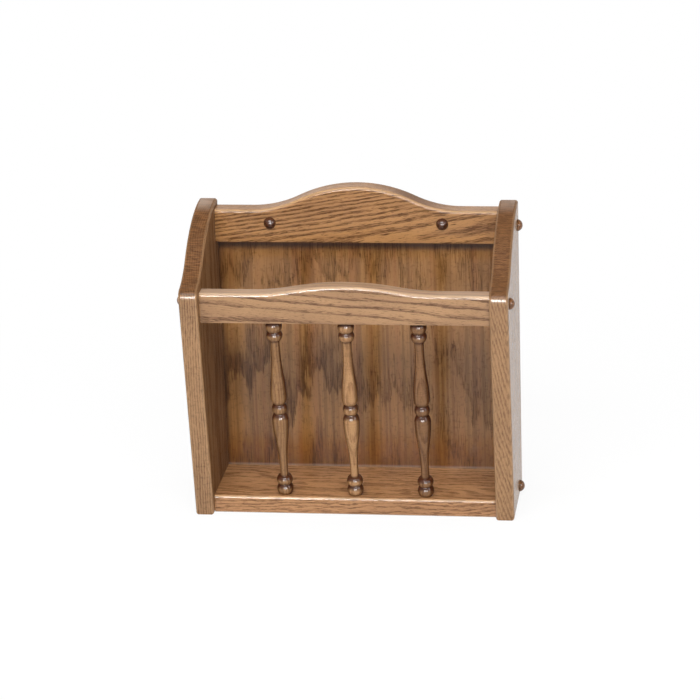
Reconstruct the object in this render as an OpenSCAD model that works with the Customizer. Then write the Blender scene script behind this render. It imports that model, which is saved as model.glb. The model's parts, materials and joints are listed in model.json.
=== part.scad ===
// Wall magazine rack in oak: two shaped sides, an arched crest rail that screws to the wall,
// a shelf, a lower front rail on three turned spindles, and a thin panel behind the pocket.
// X runs along the rack, +Y points to the wall, +Z is up. The back lies in the plane Y = 0.
// Z = 0 is the height of the wall screws; inside the modules heights count from the foot.

/* [Rack] */
// Width over the two sides
rack_w = 330.2; // [280:0.1:420]
// Thickness of the solid boards
board_t = 19.05; // [17:0.05:22]
// Radius of the rounded board edges
edge_r = 3; // [1:0.1:4]

/* [Sides] */
// Height of the sides
side_h = 311.15; // [300:0.05:325]
// Depth of the sides at the foot
foot_d = 101.6; // [90:0.1:115]
// Depth of the sides at the shoulder
shoulder_d = 139.7; // [130:0.1:150]
// Height of the shoulder
shoulder_h = 254; // [240:0.5:265]
// Radius of the scroll that falls from the top of the side
scroll_r = 139.7; // [120:0.1:160]
// Radius of the hollow between scroll and shoulder
cove_r = 80; // [60:0.5:100]
// Radius of the nose at the shoulder
nose_r = 9.5; // [5:0.1:12]

/* [Crest rail] */
// Drop from the top of the sides to the flat ends of the rail
crest_drop = 6.9; // [5:0.1:12]
// Height of the rail at its ends
crest_h = 34.1; // [30:0.1:42]
// Rise of the arch above the flat ends
crest_rise = 24.8; // [15:0.1:32]
// Distance from the middle to where the arch begins
crest_reach = 108; // [90:0.5:115]
// Radius of the arch at its crown
crest_crown_r = 137.5; // [120:0.5:150]

/* [Front rail] */
// Drop from the shoulder to the flat ends of the rail
rail_drop = 5.6; // [4:0.1:15]
// Height of the rail at its ends
rail_h = 30.6; // [26:0.1:40]
// Rise of the arch above the flat ends
rail_rise = 8.6; // [5:0.1:15]
// Distance from the middle to where the arch begins
rail_reach = 95; // [80:0.5:110]
// Radius of the arch at its crown
rail_crown_r = 290; // [150:1:300]
// Setback of the face from the front edge of the sides, at the bottom of the rail
rail_setback = 8.2; // [4:0.1:15]

/* [Shelf and panel] */
// Setback of the shelf from the foot of the sides
shelf_setback = 6.35; // [4:0.05:12]
// Thickness of the back panel
panel_t = 6.35; // [4:0.05:8]
// Width of the rabbet for the panel, in the sides and the crest rail
rabbet_w = 9.5; // [7:0.1:12]
// Height of the panel's lower edge above the foot
panel_lift = 1.5; // [0.5:0.1:4]
// Gap around the panel in its rabbets
panel_gap = 0.25; // [0.1:0.05:0.8]

/* [Spindles] */
// Distance from the shelf's front to a spindle's axis
spindle_inset = 11.9; // [11:0.1:18]
// Radius of the widest part of the vases
belly_r = 8.3; // [7:0.1:9]
// Radius of the necks
neck_r = 4.35; // [4:0.05:5.5]
// Radius of the beads at the ends
bead_r = 8.1; // [7.2:0.1:9]
// Radius in the grooves beside the end beads
bead_groove_r = 6.6; // [5.6:0.1:7]
// Length of each end bead
end_bead_len = 11.9; // [9:0.1:14]
// Length of the cup below each end bead
cup_len = 12.6; // [10:0.1:15]
// Part of the cup that turns in to the groove
cup_lip_len = 3.4; // [2:0.1:5]
// Radius at the foot of each cup
cup_foot_r = 5.3; // [5:0.1:6]
// Radius of the bead in the middle
mid_bead_r = 7.6; // [7:0.1:8.5]
// Length of the bead in the middle
mid_bead_len = 12.7; // [10:0.1:15]
// Radius in the grooves beside the middle bead
mid_groove_r = 5.9; // [5:0.1:6.5]
// Length in which a vase rounds in to the middle groove
belly_len = 6.4; // [5:0.1:9]
// Distance from the neck's narrowest place to the cup
neck_len = 16.3; // [10:0.1:22]
// Share of the taper from belly to neck that is convex
belly_share = 0.39; // [0.25:0.01:0.6]
// Radius of the tenons
tenon_r = 4.76; // [4:0.01:5]
// Depth of the tenons in the shelf and the rail
tenon_len = 12; // [8:0.1:13]

/* [Buttons and screws] */
// Radius of a button's head
button_r = 6.35; // [5.5:0.05:8]
// Height of a button's dome
button_h = 5.2; // [4:0.1:6]
// Radius of a button's stem
stem_r = 4.71; // [4.3:0.01:5.2]
// Length of a button's stem
stem_len = 6.35; // [5:0.05:7]
// Chamfer at the end of a stem
stem_chamfer = 0.6; // [0.3:0.1:1]
// Depth of the counterbores that take the stems
counterbore_len = 9.5; // [8.5:0.1:10]
// Radial clearance of stems, tenons, screws and brads in their holes
fit_gap = 0.05; // [0.03:0.01:0.1]
// Distance of the wall screws from the middle
wall_screw_x = 88.9; // [60:0.1:110]
// Height of the wall screws above the bottom of the crest rail
wall_screw_lift = 20.4; // [15:0.1:24]
// Radius of the wall screw holes
wall_hole_r = 2.5; // [2:0.05:3]
// Radius of a side screw's shank
screw_r = 2.08; // [1.6:0.01:2.5]
// Radius of a side screw's head
screw_head_r = 4.1; // [3.4:0.1:4.3]
// Height of a side screw's conical head
screw_head_h = 2.4; // [1.8:0.1:3]
// Length of a side screw with its head
screw_len = 31.75; // [25:0.05:38]
// Length of a side screw's point
screw_tip_len = 5; // [3:0.1:7]
// Width of a side screw's cross recess
recess_w = 4.2; // [3:0.1:5]
// Slot width of the cross recess
recess_slot = 0.9; // [0.6:0.1:1.2]
// Depth of the cross recess
recess_depth = 1.6; // [1:0.1:2]
// Height of the front rail's screws above its bottom
rail_screw_lift = 20.5; // [10:0.1:22]
// Distance of the shelf's screws from the back
shelf_screw_d = 28; // [20:0.1:50]

/* [Panel brads] */
// Radius of a brad's shank
brad_r = 0.6; // [0.5:0.05:0.8]
// Length of a brad with its head
brad_len = 15.9; // [12:0.1:17]
// Radius of a brad's head
brad_head_r = 1.1; // [0.9:0.05:1.4]
// Height of a brad's head
brad_head_h = 0.8; // [0.5:0.1:1.2]
// Depth that the heads are set below the back
brad_set = 0.3; // [0.2:0.1:0.6]
// Brads up each side of the panel
side_brads = 4; // [2:1:6]
// Brads along the top and along the bottom of the panel
row_brads = 3; // [2:1:5]
// Distance of the outermost brads from the panel's corners
brad_margin = 36; // [30:1:45]

/* [Hidden] */

$fn = 96;
// Length that a cutting shape runs past the face it cuts
past = 1;
// Width of the strips that carry the rounded edges of the boards
strip_w = 8;

oak_face = "#9c7248";
oak_edge = "#8a633d";
oak_panel = "#7d5c3c";
oak_turned = "#84592f";
button_brown = "#4a2a1a";
screw_steel = "#b9b4a6";

inner_w = rack_w - 2 * board_t;
// The spindles part the width between the sides into equal bays
bays = 4;

// Levels, counted from the foot
crest_top = side_h - crest_drop;
crest_z = crest_top - crest_h;
rail_top = shoulder_h - rail_drop;
rail_z = rail_top - rail_h;
wall_screw_z = crest_z + wall_screw_lift;
panel_top = crest_z + rabbet_w - panel_gap;

// Depths, counted forward from the wall
front_lean = kept(atan((shoulder_d - foot_d) / shoulder_h));
shelf_front = foot_d - shelf_setback;
rail_front = foot_d + rail_z * tan(front_lean) - rail_setback;

// Outline of a side, as points of depth and height: the scroll's centre lies on the back edge,
// the hollow bottoms out at the height of the shoulder, and each arc runs into the next
scroll_c = [0, side_h - scroll_r];
scroll_turn = acos((shoulder_h + cove_r - scroll_c.y) / (scroll_r + cove_r));
cove_c = scroll_c + (scroll_r + cove_r) * [sin(scroll_turn), cos(scroll_turn)];
front_dir = [sin(front_lean), cos(front_lean)];
front_out = [cos(front_lean), -sin(front_lean)];
nose_base = [foot_d, 0] - nose_r * front_out;
nose_away = nose_base - cove_c;
nose_along = nose_away * front_dir;
nose_climb = -nose_along - sqrt(nose_along ^ 2 - nose_away * nose_away + (cove_r + nose_r) ^ 2);
nose_c = nose_base + nose_climb * front_dir;

// Directions from the nose to the hollow and from the scroll to the hollow, from the front's normal
nose_turn = kept(atan2(cove_c.y - nose_c.y, cove_c.x - nose_c.x) + front_lean);
cove_turn = kept(90 - scroll_turn + front_lean);

// Spindle axis, from the shelf's top to the rail's underside
spindle_foot = [shelf_front - spindle_inset, board_t];
spindle_head = [rail_front - board_t / 2, rail_z];
spindle_run = spindle_head - spindle_foot;
spindle_len = norm(spindle_run);
spindle_lean = atan(spindle_run.x / spindle_run.y);

// Half of a spindle's profile, counted from the middle
half_len = spindle_len / 2;
bead_start = half_len - end_bead_len;
cup_start = bead_start - cup_len;
cup_peak = bead_start - cup_lip_len;
neck_pos = cup_start - neck_len;
mid_half = mid_bead_len / 2;
belly_pos = mid_half + belly_len;
taper_r = bow_radius(neck_pos - belly_pos, belly_r - neck_r);
belly_arc_r = taper_r * belly_share;
neck_arc_r = taper_r - belly_arc_r;
belly_end = belly_pos + (neck_pos - belly_pos) * belly_share;
// Length that an end bead runs past its seat before the seat is cut level
seat_run = bead_r * tan(spindle_lean) + past;

hole_r = stem_r + fit_gap;
shank_hole_r = screw_r + fit_gap;
dome_r = bow_radius(button_r, button_h);

// Screws through the sides, as points of depth and height
crest_screw_at = [board_t / 2, crest_z + crest_h / 2];
rail_screw_at = [rail_front - board_t / 2, rail_z + rail_screw_lift];
shelf_screw_at = [shelf_screw_d, board_t / 2];

// A value kept to a thousandth, so that neighbouring edges meet exactly
function kept(v) = round(1000 * v) / 1000;

// Radius of an arc that falls by a height over a half width
function bow_radius(half_width, height) = (half_width ^ 2 + height ^ 2) / (2 * height);

// Brings heights above the foot to the height of the wall screws
module hung() {
    translate([0, 0, -wall_screw_z]) children();
}

// Stands an outline of depth and height up against the left side's inner face
module upright() {
    translate([-inner_w / 2, 0, 0]) rotate([90, 0, -90]) children();
}

// Section of the wood that rounding an edge takes away, with the edge at the origin
module edge_waste() {
    difference() {
        translate([-past, -past]) square(edge_r + past);
        translate([edge_r, edge_r]) circle(edge_r);
    }
}

// Section of a board's edge strip, from the edge at x = 0 inwards, with the arrises at
// y = 0 and, where both is set, at y = board_t rounded
module edge_strip(w, both) {
    difference() {
        square([w, board_t]);
        edge_waste();
        if (both) translate([0, board_t]) mirror([0, 1]) edge_waste();
    }
}

// Moves a shape by a vector to the thousandth first and then by the rest, to keep every digit
module placed(c) {
    near = [kept(c.x), kept(c.y)];
    translate(near) translate(c - near) children();
}

// Edge strip along an arc of radius r that bulges from its centre, from direction a to b
module bulge_strip(r, a, b, w, both) {
    rotate_extrude(angle = b - a, start = a) translate([r, 0]) mirror([1, 0]) edge_strip(w, both);
}

// Edge strip along an arc of radius r that is hollowed from its centre, from direction a to b
module hollow_strip(r, a, b, both) {
    rotate_extrude(angle = b - a, start = a) translate([r, 0]) edge_strip(strip_w, both);
}

// Edge strip along +X, with the board on the side of -Y
module straight_strip(len, both) {
    rotate([90, 0, 90]) linear_extrude(len) mirror([1, 0]) edge_strip(strip_w, both);
}

// A side's board with its front and top edges rounded, drawn round the nose with the front
// edge upright, and then leaned and cut off at the foot and at the back
module side_blank() {
    inset = strip_w / 2;
    cove_at = (cove_r + nose_r) * [cos(nose_turn), sin(nose_turn)];
    scroll_at = cove_at - (cove_r + scroll_r) * [cos(cove_turn), sin(cove_turn)];
    steps = [0 : 0.25 : 1];
    intersection() {
        translate([0, 0, -past]) cube([2 * foot_d, 2 * side_h, board_t + 2 * past]);
        placed(nose_c) rotate(-front_lean) {
            linear_extrude(board_t) polygon([
                [nose_r - inset, 0],
                for (t = steps) let (a = nose_turn + t * (cove_turn - nose_turn))
                    cove_at - (cove_r + inset) * [cos(a), sin(a)],
                for (t = steps) let (a = cove_turn + t * 90)
                    scroll_at + (scroll_r - inset) * [cos(a), sin(a)],
                [-2 * foot_d, -side_h],
                [nose_r - inset, -side_h]
            ]);
            translate([nose_r, 0]) rotate(-90) straight_strip(side_h, true);
            bulge_strip(nose_r, 0, nose_turn, nose_r, true);
            placed(cove_at) rotate(180) hollow_strip(cove_r, cove_turn, nose_turn, true);
            placed(scroll_at) bulge_strip(scroll_r, cove_turn, cove_turn + 90, strip_w, true);
        }
    }
}

// Counterbore, countersink and shank hole of a side screw, sunk from the outer face at z = 0
module side_screw_hole() {
    translate([0, 0, -counterbore_len]) cylinder(r = hole_r, h = counterbore_len + past);
    translate([0, 0, -counterbore_len - screw_head_h])
        cylinder(r1 = shank_hole_r, r2 = screw_head_r + fit_gap, h = screw_head_h);
    translate([0, 0, -board_t - past]) cylinder(r = shank_hole_r, h = board_t + past);
}

module side_board() {
    hung() difference() {
        upright() difference() {
            side_blank();
            for (s = [0, 1]) translate([-past, 0, s * board_t]) mirror([0, 0, s])
                rotate([90, 0, 90]) linear_extrude(2 * foot_d) edge_waste();
            translate([-past, -past, -past])
                cube([panel_t + past, panel_top + panel_gap + past, rabbet_w + past]);
            for (at = [crest_screw_at, rail_screw_at, shelf_screw_at])
                translate([at.x, at.y, board_t]) side_screw_hole();
        }
        brad_holes();
    }
}

module left_side() {
    color(oak_edge) side_board();
}

module right_side() {
    color(oak_edge) mirror([1, 0, 0]) side_board();
}

// A rail with flat ends and an arch in the middle, standing from height z, its front at z = 0.
// The top edge is rounded at the front and, where both is set, at the back
module arched_rail(z, top, rise, reach, crown_r, both) {
    turn = kept(asin(reach / bow_radius(reach, rise)));
    hollow_r = kept(bow_radius(reach, rise) - crown_r);
    hollow_c = [(crown_r + hollow_r) * sin(turn), top + hollow_r];
    crown_c = [0, hollow_c.y - (crown_r + hollow_r) * cos(turn)];
    steps = [0 : 0.25 : 1];
    crown = [for (t = steps) crown_c + (crown_r - strip_w / 2) * [sin(t * turn), cos(t * turn)]];
    hollow = [for (t = steps) let (a = (t - 1) * turn)
        hollow_c + (hollow_r + strip_w / 2) * [sin(a), -cos(a)]];
    intersection() {
        translate([-inner_w / 2, z, -past]) cube([inner_w, rack_w, board_t + 2 * past]);
        for (s = [0, 1]) mirror([s, 0]) {
            linear_extrude(board_t) polygon(concat(
                [[-past, z - past], [-past, crown[0].y]], crown, hollow,
                [[rack_w, top - strip_w / 2], [rack_w, z - past]]
            ));
            placed(crown_c) rotate(90) mirror([0, 1]) bulge_strip(crown_r, 0, turn, strip_w, both);
            placed(hollow_c) {
                rotate(-90) mirror([0, 1]) hollow_strip(hollow_r, 0, turn, both);
                translate([0, -hollow_r]) straight_strip(rack_w, both);
            }
        }
    }
}

// Pilot holes in both ends of a board between the sides
module end_pilots(at) {
    reach_in = screw_len - (board_t - counterbore_len);
    for (s = [0, 1]) mirror([s, 0, 0])
        translate([-inner_w / 2 - past, -at.x, at.y]) rotate([0, 90, 0])
            cylinder(r = shank_hole_r, h = reach_in + fit_gap + past);
}

module crest_rail() {
    color(oak_face) hung() difference() {
        translate([0, -board_t, 0]) rotate([90, 0, 0]) mirror([0, 0, 1])
            arched_rail(crest_z, crest_top, crest_rise, crest_reach, crest_crown_r, false);
        translate([-inner_w / 2 - past, -panel_t, crest_z - past])
            cube([inner_w + 2 * past, panel_t + past, rabbet_w + past]);
        for (s = [-1, 1]) translate([s * wall_screw_x, -board_t, wall_screw_z]) rotate([-90, 0, 0]) {
            translate([0, 0, -past]) cylinder(r = hole_r, h = counterbore_len + past);
            cylinder(r = wall_hole_r, h = board_t + past);
        }
        end_pilots(crest_screw_at);
        brad_holes();
    }
}

module front_rail() {
    color(oak_face) hung() difference() {
        translate([0, -rail_front, 0]) rotate([90, 0, 0]) mirror([0, 0, 1])
            arched_rail(rail_z, rail_top, rail_rise, rail_reach, rail_crown_r, true);
        spindle_holes();
        end_pilots(rail_screw_at);
    }
}

module bottom_shelf() {
    color(oak_face) hung() difference() {
        translate([inner_w / 2, 0, 0]) rotate([90, 0, -90]) linear_extrude(inner_w) difference() {
            translate([panel_t, 0]) square([shelf_front - panel_t, board_t]);
            translate([shelf_front, board_t]) rotate(180) edge_waste();
            translate([shelf_front, 0]) rotate(90) edge_waste();
        }
        spindle_holes();
        end_pilots(shelf_screw_at);
        brad_holes();
    }
}

module back_panel() {
    panel_w = inner_w + 2 * (rabbet_w - panel_gap);
    color(oak_panel) hung() difference() {
        translate([-panel_w / 2, -panel_t, panel_lift]) cube([panel_w, panel_t, panel_top - panel_lift]);
        brad_holes();
    }
}

// Places of the spindles along the rack
function spindle_x(i) = inner_w * ((i + 1) / bays - 0.5);

// Puts a shape that stands on the origin on a spindle's axis
module on_spindle_axis(x) {
    translate([x, -spindle_foot.x, spindle_foot.y]) rotate([spindle_lean, 0, 0]) children();
}

module spindle_holes() {
    for (i = [0 : bays - 2]) on_spindle_axis(spindle_x(i))
        translate([0, 0, -tenon_len - fit_gap])
            cylinder(r = tenon_r + fit_gap, h = spindle_len + 2 * (tenon_len + fit_gap));
}

// A stretch of a turned profile from a to b that swells to radius r at height peak,
// along an arc of radius arc_r
module swell(a, b, peak, r, arc_r) {
    intersection() {
        translate([0, a]) square([r + past, b - a]);
        translate([r - arc_r, peak]) circle(arc_r);
    }
}

// The half of a spindle's profile above its middle, with the end bead run on past its seat
module spindle_half() {
    bead_half = end_bead_len / 2;
    bead_drop = bead_r - bead_groove_r;
    swell(0, mid_half, 0, mid_bead_r, bow_radius(mid_half, mid_bead_r - mid_groove_r));
    swell(mid_half, belly_pos, belly_pos, belly_r, bow_radius(belly_len, belly_r - mid_groove_r));
    swell(belly_pos, belly_end, belly_pos, belly_r, belly_arc_r);
    difference() {
        translate([0, belly_end]) square([belly_r, cup_start - belly_end]);
        translate([neck_r + neck_arc_r, neck_pos]) circle(neck_arc_r);
    }
    swell(cup_start, cup_peak, cup_peak, bead_r, bow_radius(cup_len - cup_lip_len, bead_r - cup_foot_r));
    swell(cup_peak, bead_start, cup_peak, bead_r, bow_radius(cup_lip_len, bead_drop));
    swell(bead_start, half_len + seat_run, half_len - bead_half, bead_r, bow_radius(bead_half, bead_drop));
}

module spindle(i) {
    color(oak_turned) hung() {
        intersection() {
            on_spindle_axis(spindle_x(i)) translate([0, 0, half_len]) rotate_extrude() {
                spindle_half();
                mirror([0, 1]) spindle_half();
            }
            translate([-rack_w / 2, -shoulder_d, board_t]) cube([rack_w, shoulder_d, rail_z - board_t]);
        }
        on_spindle_axis(spindle_x(i)) translate([0, 0, -tenon_len])
            cylinder(r = tenon_r, h = spindle_len + 2 * tenon_len);
    }
}

module spindle_left() {
    spindle(0);
}

module spindle_centre() {
    spindle(1);
}

module spindle_right() {
    spindle(2);
}

// A domed button with its stem, its seat in the plane z = 0 and the dome towards +Z
module button() {
    color(button_brown) {
        intersection() {
            translate([0, 0, button_h - dome_r]) sphere(dome_r);
            cylinder(r = button_r + past, h = button_h + past);
        }
        translate([0, 0, stem_chamfer - stem_len]) cylinder(r = stem_r, h = stem_len);
        translate([0, 0, -stem_len]) cylinder(r1 = stem_r - stem_chamfer, r2 = stem_r, h = stem_chamfer);
    }
}

// A countersunk wood screw, its head flush with z = 0 and its point towards -Z
module wood_screw() {
    color(screw_steel) difference() {
        union() {
            translate([0, 0, -screw_head_h]) cylinder(r1 = screw_r, r2 = screw_head_r, h = screw_head_h);
            translate([0, 0, screw_tip_len - screw_len])
                cylinder(r = screw_r, h = screw_len - screw_tip_len - screw_head_h);
            translate([0, 0, -screw_len]) cylinder(r1 = 0, r2 = screw_r, h = screw_tip_len);
        }
        for (a = [0, 90]) rotate(a) translate([-recess_w / 2, -recess_slot / 2, -recess_depth])
            cube([recess_w, recess_slot, recess_depth + past]);
    }
}

// Puts a shape that points along +Z on a side's outer face, s = 0 on the left and 1 on the right
module on_side(s, at) {
    hung() mirror([s, 0, 0]) translate([-rack_w / 2, -at.x, at.y]) rotate([0, -90, 0]) children();
}

module side_screw(s, at) {
    on_side(s, at) translate([0, 0, -counterbore_len]) wood_screw();
}

module wall_button(s) {
    translate([s * wall_screw_x, -board_t, 0]) rotate([90, 0, 0]) button();
}

module wall_button_left() {
    wall_button(-1);
}

module wall_button_right() {
    wall_button(1);
}

module crest_button_left() {
    on_side(0, crest_screw_at) button();
}

module crest_button_right() {
    on_side(1, crest_screw_at) button();
}

module rail_button_left() {
    on_side(0, rail_screw_at) button();
}

module rail_button_right() {
    on_side(1, rail_screw_at) button();
}

module shelf_button_left() {
    on_side(0, shelf_screw_at) button();
}

module shelf_button_right() {
    on_side(1, shelf_screw_at) button();
}

module crest_screw_left() {
    side_screw(0, crest_screw_at);
}

module crest_screw_right() {
    side_screw(1, crest_screw_at);
}

module rail_screw_left() {
    side_screw(0, rail_screw_at);
}

module rail_screw_right() {
    side_screw(1, rail_screw_at);
}

module shelf_screw_left() {
    side_screw(0, shelf_screw_at);
}

module shelf_screw_right() {
    side_screw(1, shelf_screw_at);
}

// Evenly spaced places from a to b
function spread(a, b, count) = [for (i = [0 : count - 1]) a + (b - a) * i / (count - 1)];

// Puts a shape that points along +Z at each brad's head, facing the wall
module at_brads() {
    side_x = (inner_w + rabbet_w) / 2;
    row_x = inner_w / 2 - brad_margin;
    for (s = [-1, 1], z = spread(brad_margin, panel_top - brad_margin, side_brads))
        translate([s * side_x, -brad_set, z]) rotate([-90, 0, 0]) children();
    for (z = [board_t / 2, crest_z + rabbet_w / 2], x = spread(-row_x, row_x, row_brads))
        translate([x, -brad_set, z]) rotate([-90, 0, 0]) children();
}

// A headed nail under the plane z = 0, swollen by a gap
module brad(gap) {
    translate([0, 0, -brad_len - gap]) cylinder(r = brad_r + gap, h = brad_len + gap);
    translate([0, 0, -brad_head_h - gap]) cylinder(r = brad_head_r + gap, h = brad_head_h + gap);
}

module brad_holes() {
    at_brads() {
        brad(fit_gap);
        cylinder(r = brad_head_r + fit_gap, h = brad_set + past);
    }
}

module panel_brads() {
    color(screw_steel) hung() at_brads() brad(0);
}

left_side();
right_side();
crest_rail();
front_rail();
bottom_shelf();
back_panel();
spindle_left();
spindle_centre();
spindle_right();
wall_button_left();
wall_button_right();
crest_button_left();
crest_button_right();
rail_button_left();
rail_button_right();
shelf_button_left();
shelf_button_right();
crest_screw_left();
crest_screw_right();
rail_screw_left();
rail_screw_right();
shelf_screw_left();
shelf_screw_right();
panel_brads();
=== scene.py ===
# %% [markdown]
# # A wall magazine rack in stained oak
# The rack hangs on two screws behind the crest rail: two shaped sides, an arched crest rail, a
# shelf, a lower front rail on three turned spindles and a thin panel behind the pocket. The packed
# model already has every board in its true place, so this lesson loads it, keeps the boards, turns
# finer spindles, buttons and screws, and gives each board its own cut of oak. Blender's unit is the
# metre; sizes of pieces and of grain are written in millimetres, as a joiner would.

# %% Load the packed rack
import json
from types import SimpleNamespace

import bpy
import numpy as np
from mathutils import Matrix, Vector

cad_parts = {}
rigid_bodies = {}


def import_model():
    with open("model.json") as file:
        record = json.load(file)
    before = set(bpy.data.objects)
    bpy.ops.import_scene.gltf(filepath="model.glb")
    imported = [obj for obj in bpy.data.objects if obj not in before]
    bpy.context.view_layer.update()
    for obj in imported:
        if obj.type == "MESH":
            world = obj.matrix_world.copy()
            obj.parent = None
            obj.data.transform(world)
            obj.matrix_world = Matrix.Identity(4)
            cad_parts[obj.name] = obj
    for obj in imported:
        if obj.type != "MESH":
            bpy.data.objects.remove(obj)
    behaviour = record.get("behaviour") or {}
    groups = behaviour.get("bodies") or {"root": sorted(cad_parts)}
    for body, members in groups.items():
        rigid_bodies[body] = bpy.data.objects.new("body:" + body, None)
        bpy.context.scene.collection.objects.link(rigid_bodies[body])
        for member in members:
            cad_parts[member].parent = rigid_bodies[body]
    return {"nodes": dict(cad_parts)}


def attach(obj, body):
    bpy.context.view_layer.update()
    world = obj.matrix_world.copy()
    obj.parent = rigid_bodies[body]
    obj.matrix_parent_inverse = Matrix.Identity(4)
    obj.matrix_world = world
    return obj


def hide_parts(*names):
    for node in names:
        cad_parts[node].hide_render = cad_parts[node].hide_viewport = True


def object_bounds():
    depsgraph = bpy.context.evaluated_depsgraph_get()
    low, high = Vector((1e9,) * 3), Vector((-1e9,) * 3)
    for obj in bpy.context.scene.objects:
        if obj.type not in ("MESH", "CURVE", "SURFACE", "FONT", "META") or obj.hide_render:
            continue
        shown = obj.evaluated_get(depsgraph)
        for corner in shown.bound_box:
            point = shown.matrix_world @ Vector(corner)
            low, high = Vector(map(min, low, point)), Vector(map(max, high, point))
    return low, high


for leftover in list(bpy.data.objects):
    bpy.data.objects.remove(leftover)
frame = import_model()
cad_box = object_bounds()
nodes = frame["nodes"]
scene = bpy.context.scene
scene.view_settings.view_transform = "Standard"
MM = 0.001
print("nodes:", len(nodes), "size in mm:", [round(v / MM, 1) for v in cad_box[1] - cad_box[0]])

# %% [markdown]
# ## Camera
# The picture was taken from a little to the right and above, through a long lens. The angles come
# from fitting a pinhole camera to the edges of the rack. A matrix built from the three axes of the
# camera is exact, where a Track To constraint would lose the small roll.

# %% Camera
CAMERA_AT = (0.41093, -2.97439, 0.89379)
YAW, PITCH, ROLL = np.radians((8.11, 19.05, 1.93))
LENS_MM = 156.56

ahead = np.array((-np.sin(YAW) * np.cos(PITCH), np.cos(YAW) * np.cos(PITCH), -np.sin(PITCH)))
level = np.array((np.cos(YAW), np.sin(YAW), 0.0))
down = np.cross(ahead, level)
right = np.cos(ROLL) * level + np.sin(ROLL) * down
up = np.sin(ROLL) * level - np.cos(ROLL) * down

camera = bpy.data.objects.new("camera", bpy.data.cameras.new("camera"))
camera.data.lens = LENS_MM
pose = np.eye(4)
pose[:3] = np.column_stack((right, up, -ahead, CAMERA_AT))
camera.matrix_world = Matrix(pose.tolist())
scene.collection.objects.link(camera)
scene.camera = camera
print("camera", CAMERA_AT, "lens", LENS_MM, "mm")

# %% [markdown]
# ## Writing shaders as sums
# A procedural finish is arithmetic on coordinates. Clicking Math nodes together hides the formula,
# so a small class wraps a socket: Python's operators on it add the Math nodes, and one method adds
# any other node. The formulas below can then be read as formulas.

# %% Sockets with operators
# A Mix node has a set of sockets for each type of data. These are the ones for colours.
MIX_FACTOR, MIX_A, MIX_B, MIX_RESULT = 0, 6, 7, 2


class Wire:
    """A socket of a node tree; sums with it become Math nodes. With no socket it starts a tree."""

    def __init__(self, tree, socket=None):
        self.tree, self.socket = tree, socket

    def node(self, kind, settings=None, sockets=None, out=0):
        """Adds a node of a type: its settings first, then the values or links of its sockets."""
        made = self.tree.nodes.new("ShaderNode" + kind)
        for name, value in (settings or {}).items():
            setattr(made, name, value)
        for key, value in (sockets or {}).items():
            if isinstance(value, Wire):
                self.tree.links.new(value.socket, made.inputs[key])
            else:
                made.inputs[key].default_value = value
        return Wire(self.tree, made.outputs[out] if len(made.outputs) else None)

    def math(self, operation, *values):
        """A Math node on numbers and wires, which needn't include this one."""
        return self.node("Math", {"operation": operation}, dict(enumerate(values)))

    def __add__(self, other):
        return self.math("ADD", self, other)

    def __sub__(self, other):
        return self.math("SUBTRACT", self, other)

    def __rsub__(self, other):
        return self.math("SUBTRACT", other, self)

    def __mul__(self, other):
        return self.math("MULTIPLY", self, other)

    def __truediv__(self, other):
        return self.math("DIVIDE", self, other)

    def __rtruediv__(self, other):
        return self.math("DIVIDE", other, self)

    def __pow__(self, other):
        return self.math("POWER", self, other)

    def __rpow__(self, other):
        return self.math("POWER", other, self)

    def __abs__(self):
        return self.math("ABSOLUTE", self)

    __radd__, __rmul__ = __add__, __mul__

    def step(self, low, high):
        """0 at low, 1 at high, and a smooth S between them. low may be the larger one."""
        limits = {"Value": self, "From Min": low, "From Max": high}
        return self.node("MapRange", {"interpolation_type": "SMOOTHSTEP"}, limits)

    def mix(self, a, b, blend="MIX"):
        """Colour a where this socket is 0, and b, blended, where it is 1."""
        settings = {"data_type": "RGBA", "blend_type": blend}
        return self.node("Mix", settings, {MIX_FACTOR: self, MIX_A: a, MIX_B: b}, MIX_RESULT)

    def noise(self, along, across, detail=2.0, shift=0.0, third=None):
        """Noise from -0.5 to 0.5 whose grains have a length along X and a width across it."""
        size = (1.0 / along, 1.0 / across, 1.0 / (third or across))
        scaled = {0: self, 1: size, 2: (shift,) * 3}
        places = self.node("VectorMath", {"operation": "MULTIPLY_ADD"}, scaled)
        return self.node("TexNoise", None, {"Vector": places, "Scale": 1.0, "Detail": detail}) - 0.5


print("wire operators:", [n for n in vars(Wire) if n.startswith("__")])

# %% [markdown]
# ## Studio
# The rack stands in a white studio. A lacquered surface shows what it mirrors, so the world is
# white round the horizon for camera and glossy rays, fades to a dim ceiling, and is weak as a lamp.
# One even white world would be simpler, but the dim ceiling is what draws the dark tops of beads.

# %% World
OPAQUE = 1.0
WHITE = (1.0, 1.0, 1.0, OPAQUE)
AMBIENT = 0.07
CEILING = 0.2
CEILING_EDGE = (0.4, 0.8)


def seen_rays(pen):
    """1 for rays that show the background itself: from the camera, mirrored or through glass."""
    rays = [pen.node("LightPath", out=ray) for ray in
            ("Is Camera Ray", "Is Glossy Ray", "Is Transmission Ray")]
    return pen.math("MINIMUM", rays[0] + rays[1] + rays[2], 1.0)


world = bpy.data.worlds.new("studio")
scene.world = world
world.use_nodes = True
world.node_tree.nodes.clear()
pen = Wire(world.node_tree)
way = pen.node("TexCoord", out="Generated")
overhead = pen.node("SeparateXYZ", None, {0: way}, "Z").step(*CEILING_EDGE)
strength = AMBIENT + seen_rays(pen) * (1.0 - AMBIENT - overhead * (1.0 - CEILING))
sky = pen.node("Background", None, {"Color": WHITE, "Strength": strength})
pen.node("OutputWorld", None, {"Surface": sky})
print("world as a lamp:", AMBIENT, "and as seen:", 1.0, "to", CEILING, "overhead")

# %% [markdown]
# ## Lamps
# A photographer lights with boxes and shapes the highlights with cards, which are two jobs. Ray
# visibility splits them in the same way: a box lights the wood without a reflection of its own, and
# a card is only mirrored in the lacquer. The key above the front does both. One lamp for both jobs
# would give the beads their bright spots only together with a flat, overlit board.

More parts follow.
